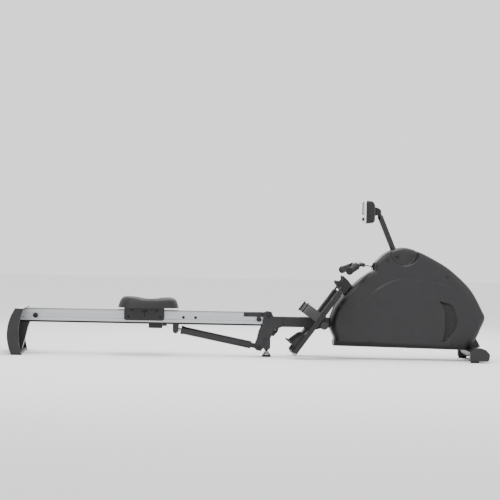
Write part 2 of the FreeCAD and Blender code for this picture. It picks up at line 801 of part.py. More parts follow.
def pull_cord():
    """Cord from the handle's anchor, through the guide, to the top of the drum."""
    return rod(on_cord(-HANDLE_BACK + 27), on_cord(CORD_INSIDE), CORD_R)


PARTS = {
    "main_beam": main_beam(),
    "fold_yoke": Part.makeCompound([*fold_yoke().Solids, *yoke_block().Solids]),
    "pivot_pins": pivot_pins(),
    "middle_leg": middle_leg(),
    "leveller_foot": leveller_foot(),
    "front_stabilizer": front_stabilizer(),
    "stabilizer_bracket": stabilizer_bracket(),
    "stabilizer_caps": stabilizer_caps(),
    "front_pads": front_pads(),
    "transport_wheel_right": transport_wheel(-1),
    "transport_wheel_left": transport_wheel(1),
    "shroud_right": shroud_half(-1),
    "shroud_left": shroud_half(1),
    "shroud_base": shroud_base(),
    "shroud_vents": shroud_vents(),
    "shroud_screws": shroud_screws(),
    "cord_guide": cord_guide(),
    "handle_rest": handle_rest(),
    "footrest_axle": footrest_axle(),
    "drive_frame": drive_frame(),
    "drive_shafts": drive_shafts(),
    "drive_belt": drive_belt(),
    "drive_drum": drive_drum(),
    "flywheel": flywheel(),
    "brake_magnets": brake_magnets(),
    "latch_lever": latch_lever(),
    "seat_rail": seat_rail(),
    "rail_strip": rail_strip(),
    "rail_hardware": rail_hardware(),
    "rail_bracket": rail_bracket(),
    "strut_bracket": strut_bracket(),
    "sensor_block": sensor_block(),
    "rear_leg": rear_leg(),
    "rear_leg_cover": rear_leg_cover(),
    "rear_pads": rear_pads(),
    "strut_cylinder": strut_cylinder(),
    "strut_rod": strut_rod(),
    "seat_pad": seat_pad(),
    "seat_pan": seat_pan(),
    "carriage_sides": carriage_sides(),
    "roller_axles": roller_axles(),
    "top_roller_rear": top_roller(TOP_ROLLER_X[0]),
    "top_roller_front": top_roller(TOP_ROLLER_X[1]),
    "low_rollers_rear": low_rollers(LOW_ROLLER_X[0]),
    "low_rollers_front": low_rollers(LOW_ROLLER_X[1]),
    "mast": mast(),
    "console_body": console_body(),
    "console_bezel": console_bezel(),
    "handle_bar": handle_bar(),
    "handle_grips": handle_grips(),
    "pull_cord": pull_cord(),
}
for side, name in ((-1, "right"), (1, "left")):
    PARTS["footplate_" + name] = footplate(side)
    PARTS["heel_cup_" + name] = heel_cup(side)
    PARTS["foot_strap_" + name] = foot_strap(side)
for y, name in zip(BUTTON_Y, ("right", "middle", "left")):
    PARTS["button_" + name] = button(y)

os.makedirs("parts", exist_ok=True)
for name, shape in PARTS.items():
    print(name, shape.isValid(), len(shape.Solids), round(shape.Volume / 1000))
    shape.exportStep("parts/" + name + ".step")
print(len(PARTS), "parts")
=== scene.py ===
import math

import bmesh
import bpy
from mathutils import Matrix, Vector
from mathutils.kdtree import KDTree


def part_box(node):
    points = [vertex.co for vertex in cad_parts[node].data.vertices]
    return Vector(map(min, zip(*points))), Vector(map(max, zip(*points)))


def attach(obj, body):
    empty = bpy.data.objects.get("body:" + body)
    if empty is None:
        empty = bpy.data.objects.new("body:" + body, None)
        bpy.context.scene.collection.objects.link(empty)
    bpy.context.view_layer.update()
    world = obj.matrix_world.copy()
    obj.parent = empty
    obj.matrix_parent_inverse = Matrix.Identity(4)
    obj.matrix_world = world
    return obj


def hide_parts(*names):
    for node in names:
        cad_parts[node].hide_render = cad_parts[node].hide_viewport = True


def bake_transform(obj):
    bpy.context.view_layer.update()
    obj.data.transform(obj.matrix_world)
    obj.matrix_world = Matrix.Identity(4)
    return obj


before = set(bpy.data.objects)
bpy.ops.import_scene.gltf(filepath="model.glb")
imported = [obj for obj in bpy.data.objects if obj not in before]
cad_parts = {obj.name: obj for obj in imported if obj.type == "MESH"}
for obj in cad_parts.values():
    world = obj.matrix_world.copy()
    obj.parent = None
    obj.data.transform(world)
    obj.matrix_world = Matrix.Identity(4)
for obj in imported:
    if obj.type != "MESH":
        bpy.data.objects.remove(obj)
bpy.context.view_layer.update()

bl_info = {
    "name": "Rowing Machine",
    "version": (1, 0, 0),
    "blender": (4, 5, 0),
    "location": "View3D > Sidebar > Rowing Machine",
    "description": "Builds the visible pieces and finishes of a folding rowing machine",
    "category": "Object",
}

MM = 0.001
SIDES = (("right", -1), ("left", 1))


# Shader helpers


def linear(code):
    """An sRGB hex colour as linear RGBA."""
    parts = [int(code[i : i + 2], 16) / 255 for i in (0, 2, 4)]
    return [c / 12.92 if c <= 0.04045 else ((c + 0.055) / 1.055) ** 2.4 for c in parts] + [1.0]


def add(tree, kind, inputs=(), **settings):
    """Adds a node, sets its properties, and fills or links its inputs."""
    made = tree.nodes.new(kind)
    for name, value in settings.items():
        setattr(made, name, value)
    for name, value in dict(inputs).items():
        if isinstance(value, bpy.types.NodeSocket):
            tree.links.new(value, made.inputs[name])
        else:
            made.inputs[name].default_value = value
    return made


def blank(name):
    material = bpy.data.materials.new(name)
    material.use_nodes = True
    tree = material.node_tree
    tree.nodes.clear()
    return material, tree


def per_metre(size_mm):
    """Noise scale whose features are about this many millimetres."""
    return 1.0 / (size_mm * MM)


def surfaced(material, tree, values):
    """Ends a material in one Principled shader with these settings and links."""
    shader = add(tree, "ShaderNodeBsdfPrincipled", values)
    add(tree, "ShaderNodeOutputMaterial", {"Surface": shader.outputs["BSDF"]})
    return material


def two_shades(tree, share, low, high, start=0.0, end=1.0):
    """Blends from one colour to another as a value goes from start to end."""
    ramp = add(tree, "ShaderNodeValToRGB", {"Fac": share})
    first, last = ramp.color_ramp.elements
    first.position, last.position = start, end
    first.color, last.color = linear(low), linear(high)
    return ramp.outputs["Color"]


def mottled(tree, place, low, high, size_mm):
    """Colour that drifts between two shades over a given size."""
    noise = add(tree, "ShaderNodeTexNoise", {"Vector": place, "Scale": per_metre(size_mm), "Detail": 3.0})
    return two_shades(tree, noise.outputs["Fac"], low, high, 0.3, 0.7)


def spread_rough(tree, place, low, high, size_mm):
    """Roughness that varies a little, as on a handled surface."""
    noise = add(tree, "ShaderNodeTexNoise", {"Vector": place, "Scale": per_metre(size_mm), "Detail": 4.0})
    span = {"Value": noise.outputs["Fac"], "From Min": 0.3, "From Max": 0.7, "To Min": low, "To Max": high}
    return add(tree, "ShaderNodeMapRange", span).outputs["Result"]


def eased(tree, radius_mm):
    """A normal that rounds hard edges by a small moulded or painted radius."""
    return add(tree, "ShaderNodeBevel", {"Radius": radius_mm * MM}, samples=4).outputs["Normal"]


def grained(tree, place, size_mm, depth_mm, normal):
    """Fine raised grain over a surface."""
    noise = add(tree, "ShaderNodeTexNoise", {"Vector": place, "Scale": per_metre(size_mm), "Detail": 2.0})
    relief = {"Height": noise.outputs["Fac"], "Distance": depth_mm * MM, "Strength": 0.6, "Normal": normal}
    return add(tree, "ShaderNodeBump", relief).outputs["Normal"]


def object_place(tree):
    return add(tree, "ShaderNodeTexCoord").outputs["Object"]


def stretched(tree, place, scale):
    return add(tree, "ShaderNodeMapping", {"Vector": place, "Scale": scale}).outputs["Vector"]


def plastic(name, low, high, rough, grain_mm, depth_mm, edge_mm=0.9):
    """Moulded plastic: two close shades, uneven gloss, and a spark-eroded grain, drawn coarser than life."""
    material, tree = blank(name)
    place = object_place(tree)
    return surfaced(material, tree, {
        "Base Color": mottled(tree, place, low, high, 45.0),
        "Roughness": spread_rough(tree, place, rough - 0.03, rough + 0.04, 30.0),
        "Normal": grained(tree, place, grain_mm, depth_mm, eased(tree, edge_mm)),
        "IOR": 1.5,
        "Specular IOR Level": 0.36,
    })


def painted_steel(name, low, high):
    """Powder-coated steel: a slight orange peel under a satin gloss."""
    material, tree = blank(name)
    place = object_place(tree)
    return surfaced(material, tree, {
        "Base Color": mottled(tree, place, low, high, 60.0),
        "Roughness": spread_rough(tree, place, 0.33, 0.42, 20.0),
        "Normal": grained(tree, place, 1.8, 0.05, eased(tree, 1.2)),
        "Coat Weight": 0.1,
        "Coat Roughness": 0.3,
        "IOR": 1.5,
        "Specular IOR Level": 0.35,
    })


def metal(name, low, high, rough, lines_mm, line_scale, depth_mm):
    """Bare metal with drawn or turned lines along one direction."""
    material, tree = blank(name)
    place = object_place(tree)
    along = stretched(tree, place, line_scale)
    lines = add(tree, "ShaderNodeTexNoise", {"Vector": along, "Scale": per_metre(lines_mm), "Detail": 4.0})
    span = {"Value": lines.outputs["Fac"], "From Min": 0.35, "From Max": 0.65}
    gloss = add(tree, "ShaderNodeMapRange", {**span, "To Min": rough - 0.06, "To Max": rough + 0.08})
    relief = {"Height": lines.outputs["Fac"], "Distance": depth_mm * MM, "Strength": 0.5}
    bump = add(tree, "ShaderNodeBump", {**relief, "Normal": eased(tree, 0.6)})
    return surfaced(material, tree, {
        "Base Color": two_shades(tree, lines.outputs["Fac"], low, high),
        "Metallic": 1.0,
        "Roughness": gloss.outputs["Result"],
        "Normal": bump.outputs["Normal"],
    })


def silver_lacquer():
    # Silver lacquered plastic: pale, satin, very fine flake
    material, tree = blank("silver_lacquered_plastic")
    place = object_place(tree)
    return surfaced(material, tree, {
        "Base Color": mottled(tree, place, "d8d3cd", "e6e1db", 1.0),
        "Metallic": 0.25,
        "Roughness": spread_rough(tree, place, 0.28, 0.36, 12.0),
        "Normal": eased(tree, 1.0),
        "Coat Weight": 0.3,
        "Coat Roughness": 0.12,
    })


def display_glass():
    # Reflective liquid-crystal panel: grey-green behind clear acrylic
    material, tree = blank("liquid_crystal_panel")
    place = object_place(tree)
    return surfaced(material, tree, {
        "Base Color": mottled(tree, place, "59635a", "616b61", 20.0),
        "Roughness": spread_rough(tree, place, 0.1, 0.16, 25.0),
        "Coat Weight": 1.0,
        "Coat Roughness": 0.04,
    })


def woven(name, low, high, thread_mm, depth_mm):
    """Plain weave from two crossed wave patterns on the piece's UV map, which is in metres."""
    material, tree = blank(name)
    cloth = add(tree, "ShaderNodeUVMap", uv_map="weave").outputs["UV"]
    scale = per_metre(thread_mm) / 2
    bands = []
    for direction in ("X", "Y"):
        wave = {"Vector": cloth, "Scale": scale / math.pi, "Distortion": 0.4, "Detail": 1.0}
        bands.append(add(tree, "ShaderNodeTexWave", wave, bands_direction=direction).outputs["Fac"])
    crossed = add(tree, "ShaderNodeMath", {0: bands[0], 1: bands[1]}, operation="MAXIMUM").outputs[0]
    relief = {"Height": crossed, "Distance": depth_mm * MM, "Strength": 0.8}
    return surfaced(material, tree, {
        "Base Color": two_shades(tree, crossed, low, high),
        "Roughness": 0.75,
        "Sheen Weight": 0.3,
        "Normal": add(tree, "ShaderNodeBump", relief).outputs["Normal"],
    })


# How far a pattern is stretched along each axis
ALONG_RAIL = (0.02, 1.0, 1.0)
EVEN = (1.0, 1.0, 1.0)

FINISHES = {
    # Charcoal ABS from a textured mould: soft broad highlights and a fine grain
    "moulded_abs": (plastic, "moulded_charcoal_abs", "1c1c1e", "202022", 0.42, 1.4, 0.05),
    # The same resin in near black, used for trims and caps
    "dark_abs": (plastic, "moulded_black_abs", "0e0e0f", "131314", 0.42, 1.2, 0.05),
    # Black glass-filled nylon: a dull, slightly speckled moulding for footplates and heel cups
    "glass_filled_nylon": (plastic, "glass_filled_nylon", "131314", "1b1b1c", 0.52, 0.9, 0.08),
    # Mid-grey nylon mesh: its cell walls catch the light over the dark plate
    "grille_nylon": (plastic, "grille_nylon", "1d1d1f", "272729", 0.4, 1.0, 0.03, 0.3),
    # Self-skinned polyurethane: soft, matt, leather-like pebble on the seat
    "moulded_urethane": (plastic, "self_skinned_urethane", "151517", "1b1b1d", 0.56, 2.2, 0.22, 1.5),
    # Vulcanised rubber: nearly black and matt
    "tyre_rubber": (plastic, "vulcanised_rubber", "141414", "1c1c1c", 0.7, 1.0, 0.08),
    # Closed-cell foam: matt black with fine open pores on its skin
    "closed_cell_foam": (plastic, "closed_cell_foam", "121213", "1b1b1c", 0.82, 1.6, 0.35),
    # Dark grey powder coat on frame steel
    "powder_coat": (painted_steel, "powder_coated_steel", "17171a", "1e1e20"),
    # Extruded, brushed and clear-anodised aluminium: long fine lines along the rail
    "brushed_aluminium": (
        metal, "brushed_anodised_aluminium", "a6a8ab", "c2c4c6", 0.34, 1.2, ALONG_RAIL, 0.02,
    ),
    # Matt anodised band along the top of the extrusion, a shade darker than its flat: the darker colour is painted
    # shade of a groove there
    "matt_groove_shade_aluminium": (metal, "matt_anodised_aluminium_painted_groove_shade", "7e8083", "929497", 0.5, 1.2, ALONG_RAIL, 0.02),
    # Bright zinc plating on shafts, the strut's rod and small turned parts
    "zinc_plate": (metal, "zinc_plated_steel", "a2a3a6", "b8b9bc", 0.36, 1.5, EVEN, 0.01),
    # Black-oxide steel pins and bolts: dark, oily and slightly glossy
    "black_oxide": (metal, "black_oxide_steel", "2a2a2b", "3a3a3b", 0.36, 1.5, EVEN, 0.02),
    # Black-nickel plated tube: mirror-like, with bright narrow reflections
    "dark_chrome": (metal, "black_nickel_plate", "303033", "3e3e41", 0.16, 8.0, EVEN, 0.005),
    # Turned and lacquered cast iron on the flywheel
    "machined_iron": (metal, "turned_cast_iron", "4c4c4e", "6a6a6c", 0.42, 1.0, (1.0, 0.1, 1.0), 0.03),
    # Woven black nylon strap
    "nylon_webbing": (woven, "woven_nylon_webbing", "101011", "2a2a2c", 1.6, 0.3),
    # Braided polyester cord: tight diagonal strands
    "braided_cord": (woven, "braided_polyester_cord", "151516", "3a3a3c", 1.4, 0.25),
    # Light grey nylon: the bare lower end of a footplate
    "pale_nylon": (plastic, "pale_grey_nylon", "8c8c8e", "9a9a9c", 0.45, 1.2, 0.05),
    # Grey overmoulded rubber where the heel rests
    "heel_insert": (plastic, "grey_overmoulded_rubber", "6a6a6c", "78787a", 0.6, 1.0, 0.1),
    "silver_lacquer": (silver_lacquer,),
    "display_glass": (display_glass,),
}
MADE_FINISHES = {}


# Mesh helpers


def in_scene(name, data):
    """Puts new data in the scene as an object."""
    made = bpy.data.objects.new(name, data)
    bpy.context.scene.collection.objects.link(made)
    return made


def placed(made, body, slot, *stands_for):
    """Rides a piece on a body, and hides the nodes that it stands for. Its slot is not used."""
    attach(made, body)
    if stands_for:
        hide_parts(*stands_for)


def full_turn(count):
    """Evenly spaced angles round a circle."""
    return [2 * math.pi * k / count for k in range(count)]


def squared_point(angle, power, half_a, half_b):
    """A point on a rectangle with well rounded corners."""
    c, s = math.cos(angle), math.sin(angle)
    return math.copysign(abs(c) ** power, c) * half_a, math.copysign(abs(s) ** power, s) * half_b


def both_sides(near, far):
    """The same range of Y on the right and on the left."""
    return (-far, -near), (near, far)


def piece_from(name, verts, faces, material, weave=None):
    """A piece from points in millimetres, with the finish of that short name.

    A weave gives each point its place on the cloth, in metres.
    """
    mesh = bpy.data.meshes.new(name)
    mesh.from_pydata([Vector(v) * MM for v in verts], [], faces)
    if weave:
        layer = mesh.uv_layers.new(name="weave")
        for loop in mesh.loops:
            layer.data[loop.index].uv = weave[loop.vertex_index]
    mesh.materials.append(finish(material))
    made = in_scene(name, mesh)
    mesh.validate()
    tidy_normals(made)
    mesh.shade_smooth()
    return made


def tidy_normals(made):
    shape = bmesh.new()
    shape.from_mesh(made.data)
    bmesh.ops.remove_doubles(shape, verts=shape.verts, dist=0.01 * MM)
    bmesh.ops.recalc_face_normals(shape, faces=shape.faces)
    shape.to_mesh(made.data)
    shape.free()


def rings_to_faces(rings, points):
    faces = []
    for r in range(rings - 1):
        for i in range(points):
            j = (i + 1) % points
            faces.append((r * points + i, r * points + j, (r + 1) * points + j, (r + 1) * points + i))
    return faces


def lofted(name, sections, material, woven_piece=False):
    """Skins a row of closed sections, and closes both ends."""
    count = len(sections[0])
    verts = [p for section in sections for p in section]
    faces = rings_to_faces(len(sections), count)
    faces.append(tuple(range(count)))
    faces.append(tuple(range(len(verts) - count, len(verts))))
    made = piece_from(name, verts, faces, material, weave=cloth_places(sections) if woven_piece else None)
    crisp(made)
    return made


def cloth_places(sections):
    """Where each point of a loft lies on its cloth: along the loft, then round its section."""
    places, run = [], 0.0
    for i, section in enumerate(sections):
        if i:
            run += (Vector(section[0]) - Vector(sections[i - 1][0])).length
        across = 0.0
        for k, at in enumerate(section):
            if k:
                across += (Vector(at) - Vector(section[k - 1])).length
            places.append((run * MM, across * MM))
    return places


def crisp(made, angle=35):
    made.data.shade_smooth()
    made.data.set_sharp_from_angle(angle=math.radians(angle))


def softened(made, width_mm):
    """Rounds the edges of a piece and bakes the rounding into its mesh."""
    bevel = made.modifiers.new("edges", "BEVEL")
    bevel.width = width_mm * MM
    bevel.segments = 3
    bevel.limit_method = "ANGLE"
    bevel.angle_limit = math.radians(30)
    return settled(made)


def settled(made):
    """Turns a piece with modifiers into a plain mesh."""
    graph = bpy.context.evaluated_depsgraph_get()
    mesh = bpy.data.meshes.new_from_object(made.evaluated_get(graph))
    old = made.data
    made.modifiers.clear()
    made.data = mesh
    mesh.name = made.name
    if old.users == 0:
        bpy.data.meshes.remove(old)
    return made


BOX_FACES = [(0, 1, 3, 2), (4, 6, 7, 5), (0, 4, 5, 1), (2, 3, 7, 6), (0, 2, 6, 4), (1, 5, 7, 3)]


def block(name, corners, material, width_mm, place=Matrix()):
    """A box with rounded edges, from its least and greatest X, Y and Z."""
    xs, ys, zs = corners[:2], corners[2:4], corners[4:]
    verts = [place @ Vector((x, y, z)) for x in xs for y in ys for z in zs]
    return softened(piece_from(name, verts, BOX_FACES, material), width_mm)


def joined(name, made):
    """Joins pieces into one mesh."""
    shape = bmesh.new()
    for one in made:
        shape.from_mesh(one.data)
    mesh = bpy.data.meshes.new(name)
    shape.to_mesh(mesh)
    shape.free()
    mesh.materials.append(made[0].data.materials[0])
    for one in made:
        bpy.data.objects.remove(one)
    whole = in_scene(name, mesh)
    crisp(whole)
    return whole


def turned(name, path, radii, material, points=32, woven_piece=False):
    """A round piece along a row of points, with a radius at each."""
    sections = []
    centres = [Vector(p) for p in path]
    for i, centre in enumerate(centres):
        ahead = (centres[min(i + 1, len(centres) - 1)] - centres[max(i - 1, 0)]).normalized()
        sideways = abs(ahead.y) > 0.9
        across = (ahead.orthogonal() if sideways else ahead.cross(Vector((0, 1, 0)))).normalized()
        other = ahead.cross(across)
        sections.append([centre + (across * math.cos(a) + other * math.sin(a)) * radii[i]
                         for a in full_turn(points)])
    return lofted(name, sections, material, woven_piece)


def finish_node(name, material):
    """Gives a CAD node its finish in every material slot, and leaves its mesh as it is."""
    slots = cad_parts[name].data.materials
    if not slots:
        slots.append(finish(material))
    for i in range(len(slots)):
        slots[i] = finish(material)


# Geometry Nodes


def node_tree(name, shape):
    """A geometry tree with a geometry input and one named number for each size, in millimetres."""
    tree = bpy.data.node_groups.new(name, "GeometryNodeTree")
    tree.interface.new_socket("Geometry", in_out="INPUT", socket_type="NodeSocketGeometry")
    tree.interface.new_socket("Geometry", in_out="OUTPUT", socket_type="NodeSocketGeometry")
    for size, value in shape.items():
        socket = tree.interface.new_socket(size, in_out="INPUT", socket_type="NodeSocketFloat")
        socket.default_value = value * MM
    return tree, tree.nodes.new("NodeGroupInput")


def scatter_end(tree, start, instance, material):
    """Sets an instance on every point, turned to the point's facing, and makes it real."""
    facing = add(tree, "GeometryNodeInputNamedAttribute", {"Name": "facing"}, data_type="FLOAT_VECTOR")
    turn = add(tree, "FunctionNodeAlignEulerToVector", {"Vector": facing.outputs["Attribute"]}, axis="Z")
    spread = add(tree, "GeometryNodeInstanceOnPoints", {
        "Points": start.outputs["Geometry"], "Instance": instance, "Rotation": turn.outputs["Rotation"],
    })
    real = add(tree, "GeometryNodeRealizeInstances", {"Geometry": spread.outputs["Instances"]})
    done = add(tree, "GeometryNodeSetMaterial", {"Geometry": real.outputs["Geometry"], "Material": finish(material)})
    end = tree.nodes.new("NodeGroupOutput")
    tree.links.new(done.outputs["Geometry"], end.inputs["Geometry"])


def screw_tree(material):
    """Button-head screw with a hexagonal socket."""
    tree, start = node_tree("button_screw", {"Head Radius": 5.5, "Head Height": 3.0, "Socket Radius": 2.4})
    radius, height, socket = (start.outputs[name] for name in ("Head Radius", "Head Height", "Socket Radius"))
    dome = add(tree, "GeometryNodeMeshUVSphere", {"Segments": 20, "Rings": 10, "Radius": radius})
    low = add(tree, "ShaderNodeMath", {0: height, 1: radius}, operation="DIVIDE")
    scale = add(tree, "ShaderNodeCombineXYZ", {"X": 1.0, "Y": 1.0, "Z": low.outputs[0]})
    flattened = {"Geometry": dome.outputs["Mesh"], "Scale": scale.outputs["Vector"]}
    head = add(tree, "GeometryNodeTransform", flattened).outputs["Geometry"]
    key = add(tree, "GeometryNodeMeshCylinder", {"Vertices": 6, "Radius": socket, "Depth": height})
    lift = add(tree, "ShaderNodeCombineXYZ", {"Z": height})
    lifted = {"Geometry": key.outputs["Mesh"], "Translation": lift.outputs["Vector"]}
    tool = add(tree, "GeometryNodeTransform", lifted).outputs["Geometry"]
    cut = add(tree, "GeometryNodeMeshBoolean", {"Mesh 1": head, "Mesh 2": tool})
    scatter_end(tree, start, cut.outputs["Mesh"], material)
    return tree


def cell_tree(material):
    """One open hexagonal cell wall of a honeycomb grille."""
    tree, start = node_tree("honeycomb_cell", {"Cell Radius": 3.4, "Wall": 0.9, "Depth": 2.0})
    radius, wall, depth = (start.outputs[name] for name in ("Cell Radius", "Wall", "Depth"))
    outer = add(tree, "GeometryNodeMeshCylinder", {"Vertices": 6, "Radius": radius, "Depth": depth})
    thin = add(tree, "ShaderNodeMath", {0: radius, 1: wall}, operation="SUBTRACT").outputs[0]
    deep = add(tree, "ShaderNodeMath", {0: depth, 1: 2.0}, operation="MULTIPLY").outputs[0]
    inner = add(tree, "GeometryNodeMeshCylinder", {"Vertices": 6, "Radius": thin, "Depth": deep})
    walls = {"Mesh 1": outer.outputs["Mesh"], "Mesh 2": inner.outputs["Mesh"]}
    cut = add(tree, "GeometryNodeMeshBoolean", walls)
    scatter_end(tree, start, cut.outputs["Mesh"], material)
    return tree


def rib_tree(material):
    """A plain bar, for treads, ratchet teeth and heel ribs."""
    tree, start = node_tree("moulded_rib", {"Length": 60.0, "Width": 3.0, "Height": 2.0})
    size = add(tree, "ShaderNodeCombineXYZ", {
        "X": start.outputs["Width"], "Y": start.outputs["Length"], "Z": start.outputs["Height"],
    })
    bar = add(tree, "GeometryNodeMeshCube", {"Size": size.outputs["Vector"]})
    scatter_end(tree, start, bar.outputs["Mesh"], material)
    return tree


def grown(name, tree, points, facings, shape):
    """Runs a tree on a set of points and keeps its result as a plain mesh."""
    mesh = bpy.data.meshes.new(name)
    mesh.from_pydata([Vector(p) * MM for p in points], [], [])
    facing = mesh.attributes.new("facing", "FLOAT_VECTOR", "POINT")
    for i, direction in enumerate(facings):
        facing.data[i].vector = direction
    made = in_scene(name, mesh)
    modifier = made.modifiers.new("made", "NODES")
    modifier.node_group = tree
    for item in tree.interface.items_tree:
        if item.in_out == "INPUT" and item.name in shape:
            modifier[item.identifier] = shape[item.name] * MM
    settled(made)
    crisp(made)
    return made


# Shared shapes, in millimetres

HOUSING_CROWN = [
    (561, 430), (596, 464), (631, 485), (684, 496), (742, 483), (808, 453), (894, 401),
    (983, 317), (1037, 224), (1049, 189), (1032, 145), (1012, 100), (973, 49),
]
HOUSING_SHOULDER = [
    (379, 58), (383, 90), (366, 132), (364, 168), (374, 204), (395, 246), (460, 322), (530, 380), (557, 393),
]


def curved(points, steps):
    """A smooth open line through points."""
    line = []
    for i in range(len(points) - 1):
        p0, p1, p2, p3 = (Vector(points[min(max(i + k, 0), len(points) - 1)]) for k in (-1, 0, 1, 2))
        for s in range(steps):
            t = s / steps
            line.append(0.5 * (2 * p1 + (p2 - p0) * t + (2 * p0 - 5 * p1 + 4 * p2 - p3) * t * t
                               + (3 * p1 - p0 - 3 * p2 + p3) * t ** 3))
    return line + [Vector(points[-1])]


def straight(a, b, steps):
    return [Vector(a).lerp(Vector(b), s / steps) for s in range(1, steps)]


def evenly(line, count):
    """The same closed line with its points spaced evenly."""
    whole = line + [line[0]]
    lengths = [0.0]
    for a, b in zip(whole, whole[1:]):
        lengths.append(lengths[-1] + (b - a).length)
    out, k = [], 0
    for i in range(count):
        target = lengths[-1] * i / count
        while lengths[k + 1] < target:
            k += 1
        share = (target - lengths[k]) / max(lengths[k + 1] - lengths[k], 1e-9)
        out.append(whole[k].lerp(whole[k + 1], share))
    return out


def housing_outline():
    """Closed side outline of the housing, clockwise."""
    line = curved(HOUSING_CROWN, 12) + straight(HOUSING_CROWN[-1], HOUSING_SHOULDER[0], 40)
    line += curved(HOUSING_SHOULDER, 12) + straight(HOUSING_SHOULDER[-1], HOUSING_CROWN[0], 4)
    return evenly(line, 480)


def ease(value, low, high):
    t = min(max((value - low) / (high - low), 0.0), 1.0)
    return t * t * (3 - 2 * t)


def side_distance(line, x, z):
    """Signed height above an open line that is read as a function of x."""
    for (x0, z0), (x1, z1) in zip(line, line[1:]):
        if x0 <= x <= x1:
            return z - (z0 + (z1 - z0) * (x - x0) / (x1 - x0))
    return None


CREASE = curved([
    (470, 196), (519, 262), (570, 312), (638, 348), (699, 355), (780, 347), (865, 335), (925, 318),
], 8)
CREASE_STEP = 5.0
HOUSING_EDGE = 58.0
HOUSING_SIDE = 83.0
HOUSING_CROWNING = 2.0
HOUSING_MIDDLE = Vector((715, 240))
EDGE_ROUND = 30.0
SCOOP = (686, 474)
SCOOP_REACH = (66, 58)
SCOOP_DEPTH = 12.0
GRILLE_MIDDLE = 175.0
GRILLE_REACH = 88.0
GRILLE_DEPTH = 9.0
GRILLE_SLANT = 0.25
CHEEK_START = 812.0
CHEEK_RISE = 4.5
OUTLINE = evenly(housing_outline(), 4000)
NEAREST = KDTree(len(OUTLINE))
for index, edge_point in enumerate(OUTLINE):
    NEAREST.insert((*edge_point, 0), index)
NEAREST.balance()


def housing_depth(x, z):
    """How far a point lies inside the housing's outline."""
    return NEAREST.find((x, z, 0))[2]


def housing_skin(x, z, depth):
    """Half width of the housing without its grilles, at a depth inside its outline."""
    t = min(depth / EDGE_ROUND, 1.0)
    width = HOUSING_EDGE + (HOUSING_SIDE - HOUSING_EDGE) * math.sqrt(1 - (1 - t) ** 2)
    width += HOUSING_CROWNING * ease(depth, 20, 110)
    scoop = math.hypot((x - SCOOP[0]) / SCOOP_REACH[0], (z - SCOOP[1]) / SCOOP_REACH[1])
    width -= SCOOP_DEPTH * (1 + ease(x, 640, 735)) * (1 - ease(scoop, 0.82, 1.03))
    above = side_distance(CREASE, x, z)
    if above is not None:
        fade = ease(x, 472, 530) * (1 - ease(x, 860, 925))
        width -= CREASE_STEP * ease(above, -4.0, 6.0) * fade * ease(depth, 4, 30)
    return width


def grille_edges(z):
    """Front and back edge of the crescent grille at a height."""
    t = (z - GRILLE_MIDDLE) / GRILLE_REACH
    return 871 - 10 * t ** 2 - 19 * max(t, 0) ** 4, 924.5 - 38 * t ** 2 + 8 * min(t, 0)


def grille_recess(x, z):
    """The hollow behind the cheek: deep at its front edge, easing out to the skin at its back."""
    front, back = grille_edges(z)
    fade = ease(z, 86, 94) * (1 - ease(z + GRILLE_SLANT * (x - front), 250, 268))
    return GRILLE_DEPTH * fade * ease(x, front - 8, front - 3) * (1 - ease(x, back - 12, back + 12))


def housing_side(x, z, depth=None):
    if depth is None:
        depth = housing_depth(x, z)
    return housing_skin(x, z, depth) - grille_recess(x, z)


def housing_rings():
    """Rings that shrink from the outline to the middle, close together at its edge, with depths."""
    line, steps = housing_outline(), 72
    shares = [1 - inset / 300 for inset in (0, 0.7, 1.6, 2.8, 4.4, 6.4, 8.8, 11.6, 14.8, 18.5, 22.5)]
    shares += [shares[-1] * (1 - k / steps) for k in range(1, steps)]
    rings = []
    for share in shares:
        ring = [HOUSING_MIDDLE.lerp(p, share) for p in line]
        rings.append([(p, 0.0 if share == 1 else housing_depth(p.x, p.y)) for p in ring])
    return rings


# Sizes and colours that a user may change


class RowerSizes(bpy.types.PropertyGroup):
    cord_diameter: bpy.props.FloatProperty(
        name="Cord diameter", description="Thickness of the pull cord", default=4.4 * MM, unit="LENGTH")
    screw_radius: bpy.props.FloatProperty(
        name="Screw head radius", description="Radius of the button heads", default=5.5 * MM, unit="LENGTH")
    cell_radius: bpy.props.FloatProperty(
        name="Grille cell radius", description="Radius of one honeycomb cell", default=4.4 * MM,
        unit="LENGTH")
    floor_size: bpy.props.FloatProperty(
        name="Floor size", description="Side of the studio floor", default=40.0, unit="LENGTH")
    floor_colour: bpy.props.FloatVectorProperty(
        name="Floor colour", description="Pale studio floor", size=3, subtype="COLOR",
        default=(0.9, 0.9, 0.9))


def sizes():
    return bpy.context.scene.rower_sizes


def finish(name):
    """A finish by its short name, made once."""
    if name not in MADE_FINISHES:
        maker, *values = FINISHES[name]
        MADE_FINISHES[name] = maker(*values)
    return MADE_FINISHES[name]


WORLD_STRENGTH = 1.45
# Name, place in metres, side in metres and power in watts of each square lamp
LAMPS = (
    ("key", (-1.6, -2.6, 3.4), 2.0, 70.0),
    ("fill", (2.6, -3.0, 2.2), 2.6, 20.0),
    ("top", (0.3, 0.4, 4.0), 1.6, 90.0),
    ("back", (0.4, 3.2, 2.4), 2.4, 40.0),
)
LAMP_AIM = (0.2, 0.0, 0.25)
CAMERA_PLACE = (-0.363, -11.783, 0.551)
CAMERA_TURN = (89.624, -1.129, -1.773)
CAMERA_LENS = (190.8, 36.0)


